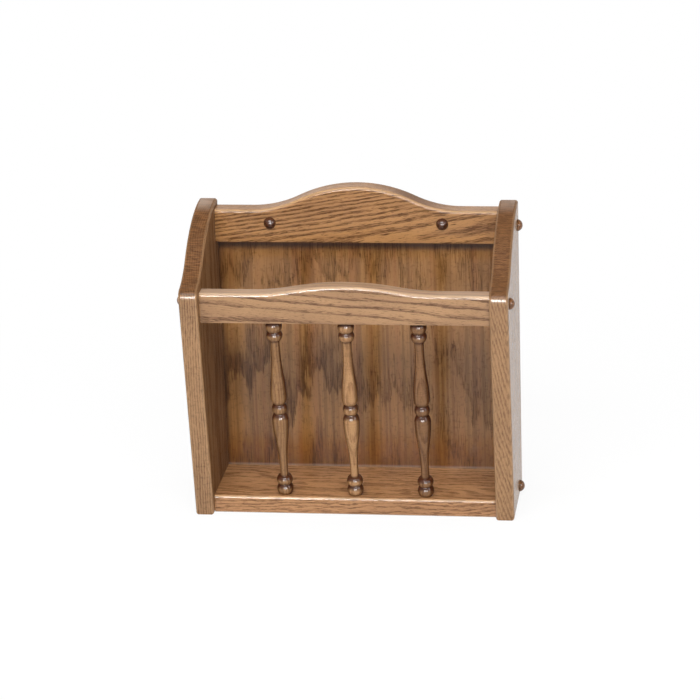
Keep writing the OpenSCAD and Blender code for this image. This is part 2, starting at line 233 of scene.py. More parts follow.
# %% Lamps
RACK_MIDDLE = (0.0, -0.05, -0.12)
# Name, degrees right of the front, degrees up, distance, size, watts, lights the wood, is mirrored
LAMPS = (
    ("key_box", 0, 45, 2.0, (1.8, 0.75), 49.0, True, True),
    ("front_fill", 6, 4, 2.3, (1.2, 0.5), 10.0, True, False),
    ("front_card", 6, 4, 2.3, (1.6, 0.65), 200.0, False, True),
    ("right_card", 60, 15, 2.3, (0.8, 1.0), 16.0, False, True),
    ("ceiling_box", 0, 84, 2.0, (1.4, 1.0), 16.0, True, False),
    ("back_box", 180, 20, 2.3, (1.2, 0.6), 16.0, True, False),
    ("left_box", -98, 18, 2.3, (0.9, 0.9), 14.0, True, False),
    ("right_box", 98, 18, 2.3, (0.9, 0.9), 14.0, True, False),
)


def softbox(name, azimuth, elevation, distance, size, watts, lights, mirrored):
    """An area lamp that faces the middle of the rack from two angles and a distance."""
    lamp = bpy.data.lights.new(name, "AREA")
    lamp.shape, lamp.size, lamp.size_y = "RECTANGLE", *size
    lamp.energy = watts
    box = bpy.data.objects.new(name, lamp)
    az, el = np.radians((azimuth, elevation))
    away = np.array((np.sin(az) * np.cos(el), -np.cos(az) * np.cos(el), np.sin(el)))
    side = np.array((np.cos(az), np.sin(az), 0.0))
    place = np.array(RACK_MIDDLE) + distance * away
    stand = np.eye(4)
    stand[:3] = np.column_stack((side, np.cross(away, side), away, place))
    box.matrix_world = Matrix(stand.tolist())
    box.visible_diffuse, box.visible_glossy = lights, mirrored
    scene.collection.objects.link(box)


for lamp in LAMPS:
    softbox(*lamp)
print("lamps:", [lamp[0] for lamp in LAMPS])

# %% [markdown]
# ## Floor
# The floor is a sheet of white paper. Lit like the rest it would be grey, and as a plain white glow
# it would lose the shadow. So it mixes both: the rays that see it get mostly its own white, and
# near the rack a tenth of it stays matt paper that takes the soft shadow.

# %% Floor
FLOOR_HALF = 12.0
GLOW_NEAR = 0.9
SHADOW_REACH = (0.3, 0.8)
PAPER = (0.8, 0.8, 0.8, OPAQUE)
floor_z = cad_box[0].z


def new_material(name):
    """A material with an empty tree, and the wire that starts it."""
    material = bpy.data.materials.new(name)
    material.use_nodes = True
    material.node_tree.nodes.clear()
    return material, Wire(material.node_tree)


floor_mesh = bpy.data.meshes.new("floor")
corners = np.array(((-1, -1), (1, -1), (1, 1), (-1, 1))) * FLOOR_HALF
floor_mesh.from_pydata([(x, y, floor_z) for x, y in corners], [], [(0, 1, 2, 3)])
floor = bpy.data.objects.new("floor", floor_mesh)
scene.collection.objects.link(floor)
paper, pen = new_material("white_sweep")
spot = pen.node("TexCoord", out="Object")
reach = pen.node("VectorMath", {"operation": "LENGTH"}, {0: spot}, "Value")
glowing = GLOW_NEAR + (1.0 - GLOW_NEAR) * reach.step(*SHADOW_REACH)
matt = pen.node("BsdfDiffuse", None, {"Color": PAPER})
glow = pen.node("Emission", None, {"Color": WHITE, "Strength": 1.0})
mixed = pen.node("MixShader", None, {0: seen_rays(pen) * glowing, 1: matt, 2: glow})
pen.node("OutputMaterial", None, {"Surface": mixed})
floor_mesh.materials.append(paper)
print("floor at", round(floor_z, 4))

# %% [markdown]
# ## Oak
# Oak is a stack of year rings round the middle of the log. Each ring starts with a band of wide
# pores that drinks the stain, and ends in dense, paler wood. A board is a straight cut through the
# stack, so one solid formula serves every face: the distance from the log's middle gives the ring,
# stretched noise gives the pores, and the board's place in the log decides between straight lines
# and flames. Streaks drawn on each face by hand would never meet at the corners.

# %% A plain cut of oak
PLAIN_CUT = dict(
    ring=3.2,             # width of a year ring in mm
    taper=0.0,            # growth of the log's radius along the grain, mm per mm
    wave=4.0,             # how far the rings wander, in mm
    drift=(150, 42),      # length and width of that wandering
    ragged=0.7,           # fringe at the edge of a ring, in mm
    band=(0.3, 0.75),     # parts of a ring between which its early wood ends
    dash=0.75,            # how far streaks break the early wood into dashes
    hair=(26, 0.6, 1.0),  # fine dark lines: length, width and strength
    pore=(9, 0.8, 0.6),   # pores: length, width and strength
    deep=0.9,             # how dark the stain gets in the early wood
    panel=None,           # for the panel: where its flames lie, and its warm stripes
    end_stain=0.75,       # how far end grain takes the colour of sawn ends
    end_dull=0.7,         # how much of the lacquer end grain drinks
    face=(0, 0, 0),       # normal of the broad face; the arris beside it gets a painted highlight
    rub=0.35,             # how far that arris is paled as a painted highlight
    inside=None,          # normal of a face inside the pocket, darker and dull
    worn=None,            # for a painted sheen on level tops: how level they are, and how much
    joints=(),            # painted shadow, amber shade and highlight lines near joints: from, to, axis, strength, colour and blend
    coat=0.9,             # weight of the lacquer
    gloss=0.14,           # roughness of the lacquer
    turned=False,         # whether a lathe has left its marks, with painted shade on tops and flanks
    shift=0.0,            # place in the noise, so that no two boards are alike
)
print("a plain cut has", len(PLAIN_CUT), "properties")

# %% Grain
# Length and width in mm of what each noise draws
WAVELET, FRINGE, STREAK, CLOUD = (40, 9), (24, 1.2), (46, 1.9), (90, 28)
# A medullary ray: length along the grain, width round the log and depth outwards
RAY_LEN, RAY_WIDTH, RAY_DEPTH = 3, 0.8, 11
MM_PER_RADIAN = 90.0
# Parts of a ring, or values of a noise, between which a mark fades in
NEW_YEAR, STREAK_EDGE, PORE_EDGE = (0.0, 0.08), (-0.14, 0.08), (0.1, 0.2)
RAY_EDGE, CLOUD_EDGE = (0.04, 0.2), (-0.16, 0.18)
# A noise times this goes from -1 to 1, and wavelets are smaller
FULL_SWING, WAVELET_SWING = 2, 0.6
# How far early wood draws pores, what is left of it beside the flames, and its loss at the foot
PORE_PULL, FAINT_FLAME, FOOT_LOSS = 0.15, 0.3, 0.7
# Places in the noise that keep hairs and clouds apart from the other marks
HAIR_SHIFT, CLOUD_SHIFT = 3, 7


def draw_grain(pen, wood, cut):
    """The marks of a log round the X axis, each as a mask.

    ring = fraction((distance from X + taper * x + waves + fringe) / ring width), and early wood is
    the start of each ring. Streaks, hairs and pores are noise stretched along X, and rays are noise
    stretched outwards from X. stain = early wood broken up by streaks, plus hairs.
    """
    shift = cut.shift
    along, across, depth = (pen.node("SeparateXYZ", None, {0: wood}, axis) for axis in "XYZ")
    out = (across ** 2 + depth ** 2) ** 0.5
    waves = (wood.noise(*cut.drift, shift=shift) * FULL_SWING
             + wood.noise(*WAVELET, shift=shift) * WAVELET_SWING)
    fringe = wood.noise(*FRINGE, shift=shift) * (FULL_SWING * cut.ragged)
    radius = out + along * cut.taper + waves * cut.wave + fringe
    year = pen.math("FRACT", radius / cut.ring)
    early = year.step(*NEW_YEAR) * (1 - year.step(*cut.band))
    pores = (wood.noise(*cut.pore[:2], shift=shift) + early * PORE_PULL).step(*PORE_EDGE)
    round_log = pen.math("ARCTAN2", depth, across) * MM_PER_RADIAN
    polar = pen.node("CombineXYZ", None, {"X": along, "Y": round_log, "Z": out})
    rays = polar.noise(RAY_LEN, RAY_WIDTH, shift=shift, third=RAY_DEPTH).step(*RAY_EDGE)
    cloud = wood.noise(*CLOUD, shift=shift + CLOUD_SHIFT).step(*CLOUD_EDGE)
    if cut.panel:
        flames = FAINT_FLAME + (1 - FAINT_FLAME) * depth.step(*cut.panel["flames"])
        early = early * flames * (1 - FOOT_LOSS * along.step(*cut.panel["plain"]))
    streaks = wood.noise(*STREAK, 3, shift).step(*STREAK_EDGE)
    hairs = wood.noise(*cut.hair[:2], shift=shift + HAIR_SHIFT) * cut.hair[2]
    drawn = early * (1 - cut.dash + cut.dash * streaks) + hairs
    stain = pen.math("MAXIMUM", drawn, 0.0) * cut.deep
    return SimpleNamespace(early=early, stain=stain, pores=pores, rays=rays, cloud=cloud)


print("streaks of", STREAK, "mm on clouds of", CLOUD, "mm")

# %% Stain
WARM_STRIPE, WARM_EDGE, WARM_SHIFT = (500, 9), (-0.05, 0.15), 17
DARK_STRIPE, DARK_EDGE, DARK_SHIFT = (400, 5), (0.02, 0.12), 23
# How far each mark changes the colour, and the part of the dark stain's colour that a pore has
CLOUD_STAIN, WARM_STAIN, STRIPE_STAIN, RAY_STAIN = 0.25, 0.4, 0.35, 0.22
PORE_SHADE = 0.45


def shade(colour, part):
    """A part of a colour, so a darker one."""
    return (*(part * c for c in colour[:3]), OPAQUE)


def stain_colour(wood, grain, light, dark, cut):
    """Light late wood, darkened by the stain and clouds, striped on a panel, then by the pores."""
    colour = grain.stain.mix(light, dark)
    colour = (grain.cloud * CLOUD_STAIN).mix(colour, dark)
    if cut.panel:
        warm = wood.noise(*WARM_STRIPE, 1, cut.shift + WARM_SHIFT).step(*WARM_EDGE)
        colour = (warm * WARM_STAIN).mix(colour, cut.panel["warm"])
        stripes = wood.noise(*DARK_STRIPE, 1, cut.shift + DARK_SHIFT).step(*DARK_EDGE)
        colour = (stripes * STRIPE_STAIN).mix(colour, dark)
    marked = grain.pores * cut.pore[2] + grain.rays * RAY_STAIN
    return marked.mix(colour, shade(dark, PORE_SHADE))


print("a pore in a middle brown:", np.round(shade((0.2, 0.1, 0.05), PORE_SHADE), 3).tolist())

# %% Coordinates and colours
def place_mm(pen, heart=(0, 0, 0), turn=(0, 0, 0)):
    """The object's coordinates in mm, turned by degrees about X, Y and Z and moved to a heart."""
    placing = {"Vector": pen.node("TexCoord", out="Object"), "Location": heart,
               "Rotation": np.radians(turn).tolist(), "Scale": (1 / MM,) * 3}
    return pen.node("Mapping", None, placing)


def facing(pen, way):
    """The cosine between the surface and a direction on the object: 1 where it faces that way."""
    normal = pen.node("TexCoord", out="Normal")
    return pen.node("VectorMath", {"operation": "DOT_PRODUCT"}, {0: normal, 1: way}, "Value")


def srgb(red, green, blue):
    """A colour in 0 to 255 as the eye reads it, in the linear values that shaders use."""
    v = np.array((red, green, blue)) / 255.0
    linear = np.where(v <= 0.04045, v / 12.92, ((v + 0.055) / 1.055) ** 2.4)
    return (*linear.tolist(), OPAQUE)


print("a middle grey in linear values:", np.round(srgb(128, 128, 128)[:3], 3).tolist())

# %% Wear and painted light
# Painted highlight colour of arrises, and painted sheen of level tops and of a line at the panel's
# foot
ARRIS_HIGHLIGHT, PAINTED_SHEEN = srgb(206, 170, 128), srgb(200, 180, 162)
END_DARK, END_PALE = srgb(52, 28, 16), srgb(124, 80, 46)
# Saw marks, with a depth, and the patches that make them stronger or fainter
SAW_MARK, SAW_DEPTH, SAW_EDGE = (0.9, 0.9), 9, (-0.16, 0.16)
SAW_PATCH, PATCH_MEAN, PATCH_SPAN = (14, 9), 0.6, 0.8
# Cosines between which a surface counts as broad face, and coordinates in mm as the board's front
BROAD, FRONT = (0.9, 0.99), (-2.0, -5.0)
ARRIS_EDGE = (0.3, 0.95)
# How far the broad faces and the faces inside the pocket are darkened, and how far clouds spare a
# top from its painted sheen
BROAD_DARKENING, INNER_DARKENING, CLOUD_SAVES = 0.1, 0.35, 0.5


def wear_and_painted_light(pen, wood, grain, colour, dark, ends, cut):
    """The colour of sawn ends, with painted light and shade, each step as a mask that mixes in a
    colour.

    Ends are sawn, arrises get a painted highlight where sin(2 * angle to the broad face) is large,
    faces inside the pocket are darker, level tops get a painted sheen, and bands near joints get
    painted shadow, amber shade and highlight lines by their distance along an axis.
    """
    sawn = wood.noise(*SAW_MARK, shift=cut.shift, third=SAW_DEPTH).step(*SAW_EDGE)
    patchy = PATCH_MEAN + PATCH_SPAN * wood.noise(*SAW_PATCH, shift=cut.shift)
    colour = (ends * cut.end_stain).mix(colour, (sawn * patchy).mix(END_DARK, END_PALE))
    flat = abs(facing(pen, cut.face))
    # Painted highlight: the arris beside the broad face is paled towards a cream colour
    arris = (2 * flat * pen.math("SQRT", 1 - flat ** 2)).step(*ARRIS_EDGE)
    colour = (arris * cut.rub).mix(colour, ARRIS_HIGHLIGHT)
    # Broad faces a little darker, and faces inside the pocket more
    if cut.inside:
        inner = facing(pen, cut.inside).step(*BROAD)
        colour = (BROAD_DARKENING * flat.step(*BROAD) + INNER_DARKENING * inner).mix(colour, dark)
    # Painted sheen: level tops are paled towards a grey cream
    if cut.worn:
        level, much = cut.worn
        top = facing(pen, (0, 0, 1)).step(level, 1.0)
        colour = (top * much * (1 - CLOUD_SAVES * grain.cloud)).mix(colour, PAINTED_SHEEN)
    # Painted shadow, amber shade and highlight lines near joints, by the distance along an axis
    for start, end, axis, much, tone, blend in cut.joints:
        spot = place_mm(pen)
        near = pen.node("SeparateXYZ", None, {0: spot}, axis).step(start, end)
        front = pen.node("SeparateXYZ", None, {0: spot}, "Y").step(*FRONT)
        colour = (near * front * much).mix(colour, tone, blend)
    return colour


# The painted highlight colour of arrises and the painted sheen of level tops
print("rubbed arris, worn top:", np.round((ARRIS_HIGHLIGHT, PAINTED_SHEEN), 3).tolist())

# %% Marks of the lathe, with painted shade
# Stain and painted shade in turned grooves, and painted shade on tops and flanks
GROOVE = srgb(62, 29, 13)
LATHE_MARK, MARK_STAIN = (0.9, 50), 0.8
# Cosines between which a surface counts as top or flank, how far painted shade darkens them, and
# how far stain with painted shade darkens grooves
TOP_EDGE, FLANK_EDGE = (-0.08, 0.4), (0.55, 1.0)
TOP_SHADE, FLANK_SHADE, GROOVE_STAIN_AND_SHADE, MOST_DARKENING = 0.7, 0.75, 0.85, 0.92


def lathe_marks_and_shade(pen, colour, dark, marks):
    """Fine rings, painted shade on tops and flanks, and stain with painted shade in the grooves.

    The groove attribute of the mesh is 1 in a groove.
    """
    colour = (marks * MARK_STAIN).mix(colour, shade(dark, PORE_SHADE))
    # Painted shade: tops and flanks of the turning are darkened, and grooves get stain with shade
    tops = facing(pen, (0, 0, 1)).step(*TOP_EDGE)
    flanks = abs(facing(pen, (1, 0, 0))).step(*FLANK_EDGE)
    groove = pen.node("Attribute", {"attribute_name": "groove"}, out="Fac")
    kept = tops * TOP_SHADE + flanks * FLANK_SHADE + groove * GROOVE_STAIN_AND_SHADE
    return pen.math("MINIMUM", kept, MOST_DARKENING).mix(colour, GROOVE)


print("stain in a groove:", np.round(GROOVE, 3).tolist(), "at most", MOST_DARKENING)

# %% Oak under lacquer
# Cosines between which a surface counts as end grain
END_EDGE = (0.2, 0.55)
# How much lacquer is missing in pores and inside the pocket
PORE_DULL, INNER_DULL = 0.5, 0.8
# How far pores and early wood sink, and how far lathe marks and swells of a length and width rise
PORE_SINK, EARLY_SINK, MARK_RISE, UNEVEN_RISE = 0.6, 0.25, 0.6, 0.5
UNEVEN = (60, 9)
BUMP = {"Strength": 0.25, "Distance": 0.0004}
WOOD_ROUGH, PORE_ROUGH, CLOUD_ROUGH = 0.42, 0.18, 0.08
DIM_SPECULAR = 0.02


def grain_axis(turn):
    """The direction on the object that a turn, X first, then Y, then Z, brings to X."""
    x, y, z = np.radians(turn)
    about_x = np.array(((1, 0, 0), (0, np.cos(x), -np.sin(x)), (0, np.sin(x), np.cos(x))))
    about_y = np.array(((np.cos(y), 0, np.sin(y)), (0, 1, 0), (-np.sin(y), 0, np.cos(y))))
    about_z = np.array(((np.cos(z), -np.sin(z), 0), (np.sin(z), np.cos(z), 0), (0, 0, 1)))
    return (about_z @ about_y @ about_x)[0].tolist()


def coat_with(pen, sockets):
    """Ends a tree with a Principled shader that has these values and links."""
    shader = pen.node("BsdfPrincipled", None, sockets)
    pen.node("OutputMaterial", None, {"Surface": shader})


def oak(name, light, dark, turn, heart, **changes):
    """Stained oak of two colours. turn (degrees) brings the grain to X, heart (mm) is its place in
    the log, and changes go over the plain cut.

    The lacquer is the shader's coat over wood with almost no shine of its own. Pores, end grain and
    the inside of the pocket hold less of it.
    """
    cut = SimpleNamespace(**{**PLAIN_CUT, **changes})
    material, pen = new_material(name)
    wood = place_mm(pen, heart, turn)
    grain = draw_grain(pen, wood, cut)
    ends = abs(facing(pen, grain_axis(turn))).step(*END_EDGE)
    colour = stain_colour(wood, grain, light, dark, cut)
    colour = wear_and_painted_light(pen, wood, grain, colour, dark, ends, cut)
    coated = cut.coat * (1 - grain.pores * PORE_DULL) * (1 - ends * cut.end_dull)
    if cut.inside:
        coated = coated * (1 - facing(pen, cut.inside).step(*BROAD) * INNER_DULL)
    uneven = wood.noise(*UNEVEN, shift=cut.shift)
    height = grain.pores * -PORE_SINK - grain.early * EARLY_SINK + uneven * UNEVEN_RISE
    if cut.turned:
        marks = wood.noise(*LATHE_MARK, 1, cut.shift)
        colour = lathe_marks_and_shade(pen, colour, dark, marks)
        height = height + marks * MARK_RISE
    bump = pen.node("Bump", None, {**BUMP, "Height": height})
    roughness = WOOD_ROUGH + grain.pores * PORE_ROUGH + grain.cloud * CLOUD_ROUGH
    coat_with(pen, {"Base Color": colour, "Roughness": roughness, "Normal": bump,
                    "Coat Weight": coated, "Specular IOR Level": DIM_SPECULAR,
                    "Coat Roughness": cut.gloss})
    return material


print("grain of a board turned by 90 degrees:", np.round(grain_axis((0, 90, 0)), 3).tolist())

# %% [markdown]
# ## Boards
# Each real board comes from another part of a log. The rails show long slanting lines, the sides
# fine straight ones with dark end grain on their curves, and the thin panel is peeled veneer with
# broad flames that fade out at its foot. One oak for all would look like printed foil, so each
# board gets its own colours, place in the log, wear and painted light. The panel also gets painted
# shadow along its joints, painted amber shade near its top and foot, where the lacquer mirrors less
# of the room, and a painted highlight line at its foot.

# %% Boards
RAIL_FACE, SHELF_FACE, SIDE_FACE = (0, 1, 0), (0, 0, 1), (1, 0, 0)
# Painted shadow along the panel's joints, and painted amber shade near its top and foot
JOINT_SHADOW = srgb(52, 25, 5)
AMBER_SHADE = (0.8, 0.65, 0.41, OPAQUE)
SHIFT_STEP = 11.0

side_cut = dict(
    light=srgb(150, 113, 76), dark=srgb(92, 59, 34), turn=(0, 90, 0), wave=3.0, ragged=0.6,
    deep=0.55, face=SIDE_FACE, rub=0.12, worn=(0.965, 0.35), gloss=0.25, pore=(9, 0.8, 0.3))
# Painted light on the panel: amber shade near its top and foot, shadow under the crest, along the
# sides and at the foot, and a pale highlight line at the foot
panel_painted_light = (
    (-80.0, -45.0, "Z", 0.08, AMBER_SHADE, "MULTIPLY"), (-222.0, -258.0, "Z", 1.0, AMBER_SHADE, "MULTIPLY"),
    (-34.0, -26.0, "Z", 0.75, JOINT_SHADOW, "MIX"), (-250.0, -271.0, "Z", 0.2, JOINT_SHADOW, "MIX"),
    (141.0, 146.3, "X", 0.8, JOINT_SHADOW, "MIX"), (-141.0, -146.3, "X", 0.8, JOINT_SHADOW, "MIX"),
    (-268.0, -271.0, "Z", 0.2, PAINTED_SHEEN, "MIX"))
BOARDS = {
    "crest_rail": dict(
        light=srgb(160, 115, 68), dark=srgb(84, 48, 24), turn=(0, 9, 0), heart=(40, 78, 22),
        ring=2.2, wave=3.0, deep=0.62, face=RAIL_FACE, worn=(0.5, 0.22), coat=0.4),
    "front_rail": dict(
        light=srgb(153, 116, 79), dark=srgb(94, 60, 36), turn=(0, -4.5, 0), heart=(310, 190, 100),
        ring=5.6, band=(0.12, 0.6), deep=0.75, face=RAIL_FACE, worn=(0.5, 0.4)),
    "bottom_shelf": dict(
        light=srgb(167, 122, 81), dark=srgb(104, 66, 38), turn=(0, 0, 2), heart=(90, 60, 340),
        wave=9.0, ragged=1.6, deep=0.45, face=SHELF_FACE, coat=0.85),
    "left_side": dict(side_cut, heart=(20, 70, 60), ring=2.4, inside=(1, 0, 0)),
    "right_side": dict(side_cut, heart=(120, 270, 250), ring=1.8, deep=0.4, inside=(-1, 0, 0)),
    "back_panel": dict(
        light=srgb(144, 101, 54), dark=srgb(78, 45, 9), turn=(0, 90, 0), heart=(200, 500, 0),
        ring=15.0, taper=0.13, wave=15.0, drift=(170, 30), ragged=2.4, band=(0.1, 0.6), deep=0.75,
        dash=0.3, hair=(60, 0.8, 2.0), pore=(14, 0.7, 0.5), joints=panel_painted_light, shift=151.0,
        panel=dict(flames=(-60, 60), plain=(90, 125), warm=srgb(132, 82, 44))),
}
for place, (board, cut) in enumerate(BOARDS.items()):
    finish = oak("oak_" + board, **{"shift": SHIFT_STEP * place, **cut})
    for slot in nodes[board].material_slots:
        slot.material = finish
print("oak boards:", list(BOARDS))

# %% [markdown]
# ## Spindles
# A spindle is turned on a lathe, so it is one profile carried round an axis: a bead at each end, a
# cup, a long vase that swells to a belly, and a bead in the middle. The two halves mirror each
# other. A Screw modifier could spin a drawn curve, but a profile of arcs can be measured. The ends
# are cut level, since the spindles lean forward between the level shelf and the level rail.

# %% Spindle profile
INNER_W, BOARD_T = 292.1, 19.05
WALL_SCREW_Z = 290.55
# Distance from the wall and height above the foot of the rack, for both ends of a spindle's axis
FOOT = np.array((83.35, BOARD_T))
HEAD = np.array((116.545, 217.8))
# Place or length along the axis, radius at the peak, and the fall of the arc down to a groove
MID_HALF, MID_R, MID_FALL = 5.5, 7.9, 2.3
BELLY_AT, BELLY_R, BELLY_FALL = 13.0, 8.5, 2.9
BEAD_LEN, BEAD_R, BEAD_FALL = 11.9, 8.4, 2.4
# The cup's peak is measured from the end bead, and its arc rises less than it falls
CUP_LEN, CUP_PEAK, CUP_R, CUP_RISE, CUP_FALL = 9.6, 4.4, 8.3, 1.3, 2.3
NECK_LEN, NECK_UPPER_R, NECK_LOWER_R = 9.0, 4.75, 4.15
FLANGE_LEN, FLANGE_R, FLANGE_H = 1.2, 4.9, 2.1
# Part of the way from belly to neck that bulges; the rest is hollow
BELLY_SHARE = 0.39


def bow(half_width, height):
    """Radius of the arc that falls by a height over a half width."""
    return (half_width ** 2 + height ** 2) / (2 * height)


def bulge(t, peak, r, arc):
    """Profile radius of an arc of radius arc that bulges to r at t = peak."""
    return r - arc + np.sqrt(np.maximum(arc ** 2 - (t - peak) ** 2, 0.0))


def spindle_radius(t, half_len):
    """Radius at a distance t from the middle: middle bead, belly, neck, flange, cup and end bead.

    Each stretch is an arc, apart from the flange, a quarter ellipse between neck and cup. The neck
    below the middle is a little slimmer than the one above it.
    """
    neck_r = np.where(t > 0, NECK_UPPER_R, NECK_LOWER_R)
    t = np.abs(t)
    bead_at = half_len - BEAD_LEN
    cup_at, cup_peak = bead_at - CUP_LEN, bead_at - CUP_PEAK
    neck_at, flange_end = cup_at - NECK_LEN, cup_at + FLANGE_LEN
    taper = bow(neck_at - BELLY_AT, BELLY_R - neck_r)
    belly_end = BELLY_AT + (neck_at - BELLY_AT) * BELLY_SHARE
    neck_arc = taper * (1 - BELLY_SHARE)
    neck = neck_r + neck_arc - np.sqrt(np.maximum(neck_arc ** 2 - (t - neck_at) ** 2, 0.0))
    face = np.clip((flange_end - t) / FLANGE_LEN, 0.0, 1.0)
    half_bead = BEAD_LEN / 2
    stretches = [
        (t < MID_HALF, bulge(t, 0.0, MID_R, bow(MID_HALF, MID_FALL))),
        (t < BELLY_AT, bulge(t, BELLY_AT, BELLY_R, bow(BELLY_AT - MID_HALF, BELLY_FALL))),
        (t < belly_end, bulge(t, BELLY_AT, BELLY_R, taper * BELLY_SHARE)),
        (t < cup_at, neck),
        (t < flange_end, FLANGE_R + FLANGE_H * np.sqrt(1 - face ** 2)),
        (t < cup_peak, bulge(t, cup_peak, CUP_R, bow(cup_peak - flange_end, CUP_RISE))),
        (t < bead_at, bulge(t, cup_peak, CUP_R, bow(bead_at - cup_peak, CUP_FALL))),
    ]
    end_bead = bulge(t, half_len - half_bead, BEAD_R, bow(half_bead, BEAD_FALL))
    return np.select(*zip(*stretches), end_bead)


run = HEAD - FOOT
spindle_len = np.linalg.norm(run)
half_spindle = spindle_len / 2
lean = np.arctan2(run[0], run[1])
print("spindle", round(spindle_len, 2), "mm long, leaning", round(np.degrees(lean), 2), "degrees")

# %% Rings of a spindle
TENON_R, TENON_LEN, TENON_CHAMFER = 4.76, 12.0, 0.5
PAST_SEAT = 2.4
CUP_START = half_spindle - BEAD_LEN - CUP_LEN
# Where the spacing of the rings changes, from the middle outwards, and the rings in each stretch
SPACING_MARKS = (0.0, 15.0, CUP_START - 1.0, CUP_START + FLANGE_LEN, half_spindle + PAST_SEAT)
RING_COUNTS = (46, 60, 16, 64)
# The grooves and the widths over which their stain and painted shade fade
GROOVES = np.array((MID_HALF, CUP_START, half_spindle - BEAD_LEN, half_spindle))
GROOVE_FADE = np.array((1.7, 1.6, 1.4, 2.2))


def spindle_rings():
    """Distance t from the middle and radius r of each ring, with a tenon at both ends.

    Rings lie closer together where the flange, the cups and the beads turn quickly.
    """
    spans = zip(SPACING_MARKS, SPACING_MARKS[1:], RING_COUNTS)
    t = np.concatenate((SPACING_MARKS[:1], *(np.linspace(*span)[1:] for span in spans)))
    t = np.concatenate((-t[:0:-1], t))
    r = spindle_radius(t, half_spindle)
    r = np.maximum(r, np.where(np.abs(t) > half_spindle, TENON_R, 0.0))
    tip = half_spindle + TENON_LEN
    ends = np.array((tip, tip, tip - TENON_CHAMFER, half_spindle + PAST_SEAT))
    tenon = np.array((0.0, TENON_R - TENON_CHAMFER, TENON_R, TENON_R))
    return (np.concatenate((-ends, t[1:-1], ends[::-1])),
            np.concatenate((tenon, r[1:-1], tenon[::-1])))


def groove_mark(t):
    """Largest exp(-(distance / fade)^2) over the grooves: 1 in a groove, where stain and painted
    shade gather.
    """
    away = np.abs(t)[:, None] - GROOVES
    return np.exp(-(away / GROOVE_FADE) ** 2).max(axis=1)


print("rings of a spindle:", len(spindle_rings()[0]))

# %% Points of a spindle
ROUND = 72
NEARLY = 1e-9


def spindle_points(x_mm):
    """Rings P(t, a) = axis(t) + r(t) (cos a, sin a) across it; beads past a level seat stop there.

    Tenons go on into their mortises.
    """
    t, r = spindle_rings()
    a = np.linspace(0, 2 * np.pi, ROUND, endpoint=False)
    up_axis = np.array((0.0, -np.sin(lean), np.cos(lean)))
    out_axis = np.array((0.0, np.cos(lean), np.sin(lean)))
    lift, side = np.outer(r, np.sin(a)), np.outer(r, np.cos(a))
    along = np.repeat(t[:, None], ROUND, axis=1) + half_spindle
    low, high = -lift * np.tan(lean), spindle_len - lift * np.tan(lean)
    bead = (np.abs(t) < half_spindle + PAST_SEAT + NEARLY) & (r > TENON_R + NEARLY)
    along = np.where(bead[:, None], np.clip(along, low, high), along)
    start = np.array((x_mm, -FOOT[0], FOOT[1] - WALL_SCREW_Z))
    return (start + along[..., None] * up_axis + lift[..., None] * out_axis
            + side[..., None] * np.array((1.0, 0.0, 0.0))) * MM


print("rings, points in a ring, coordinates:", spindle_points(0.0).shape)

# %% A grid as a closed piece
def grid_piece(name, points, body, node, finish, groove=None):
    """A closed piece from a grid of rings: quads between rings and a fan of triangles at each pole.

    The first and last rings of the grid have shrunk to points, and each becomes one vertex. A
    volume below 0 shows faces that point inwards, so they are turned. groove is a value per ring,
    kept as a vertex attribute for the finish.
    """
    rings, turns = points.shape[0] - 2, points.shape[1]
    here = 1 + np.arange(rings * turns).reshape(rings, turns)
    after = np.roll(here, -1, axis=1)
    last = rings * turns + 1
    quads = np.stack((here[:-1], after[:-1], after[1:], here[1:]), axis=-1).reshape(-1, 4)
    start = np.stack((np.zeros(turns, int), after[0], here[0]), axis=-1)
    end = np.stack((np.full(turns, last), here[-1], after[-1]), axis=-1)
    verts = np.concatenate((points[:1, 0], points[1:-1].reshape(-1, 3), points[-1:, 0]))
    tris = np.concatenate((start, end, quads[:, :3], quads[:, [0, 2, 3]]))
    a, b, c = (verts[tris[:, corner]] for corner in range(3))
    volume = np.einsum("ij,ij->i", a, np.cross(b, c)).sum() / 6
    faces = quads.tolist() + start.tolist() + end.tolist()
    if volume < 0:
        faces = [face[::-1] for face in faces]
    mesh = bpy.data.meshes.new(name)
    mesh.from_pydata(verts.tolist(), [], faces)
    mesh.polygons.foreach_set("use_smooth", np.ones(len(faces), bool))
    if groove is not None:
        kept = mesh.attributes.new("groove", "FLOAT", "POINT")
        marks = np.concatenate((groove[:1], np.repeat(groove[1:-1], turns), groove[-1:]))
        kept.data.foreach_set("value", marks.astype(np.float32))
    mesh.materials.append(finish)
    piece = bpy.data.objects.new(name, mesh)
    scene.collection.objects.link(piece)
    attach(piece, body)
    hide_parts(node)
    print(name, "faces:", len(faces), "volume in mm3:", round(abs(volume) / MM ** 3, 1))


print("faces that a spindle will have:", (len(spindle_rings()[0]) - 1) * ROUND)

# %% Three spindles
TURNED_SHIFT, BAY_SHIFT = 80.0, 9
turned_cut = dict(ring=2.6, wave=2.0, deep=0.4, hair=(26, 0.6, 0.8), pore=(9, 0.6, 0.2),
                  end_stain=0.2, end_dull=0.1, coat=0.65, turned=True)
# Bay left or right of the middle, light and dark colour, and place in the log
TURNED = {
    "left": (-1, srgb(139, 102, 65), srgb(76, 44, 24), (30, 26, 31)),
    "centre": (0, srgb(168, 127, 85), srgb(100, 62, 35), (230, 44, -26)),
    "right": (1, srgb(122, 86, 53), srgb(66, 36, 20), (430, -39, 22)),
}
for hand, (bay, light, dark, heart) in TURNED.items():
    x = bay * INNER_W / 4
    turn = (-np.degrees(lean), 90, 0)
    finish = oak("oak_spindle_" + hand, light, dark, turn, heart,
                 shift=TURNED_SHIFT + BAY_SHIFT * bay, **turned_cut)
    grid_piece("turned_" + hand, spindle_points(x), "rack", "spindle_" + hand, finish,
               groove_mark(spindle_rings()[0]))
    print("spindle", hand, "at x =", round(x, 2), "mm")

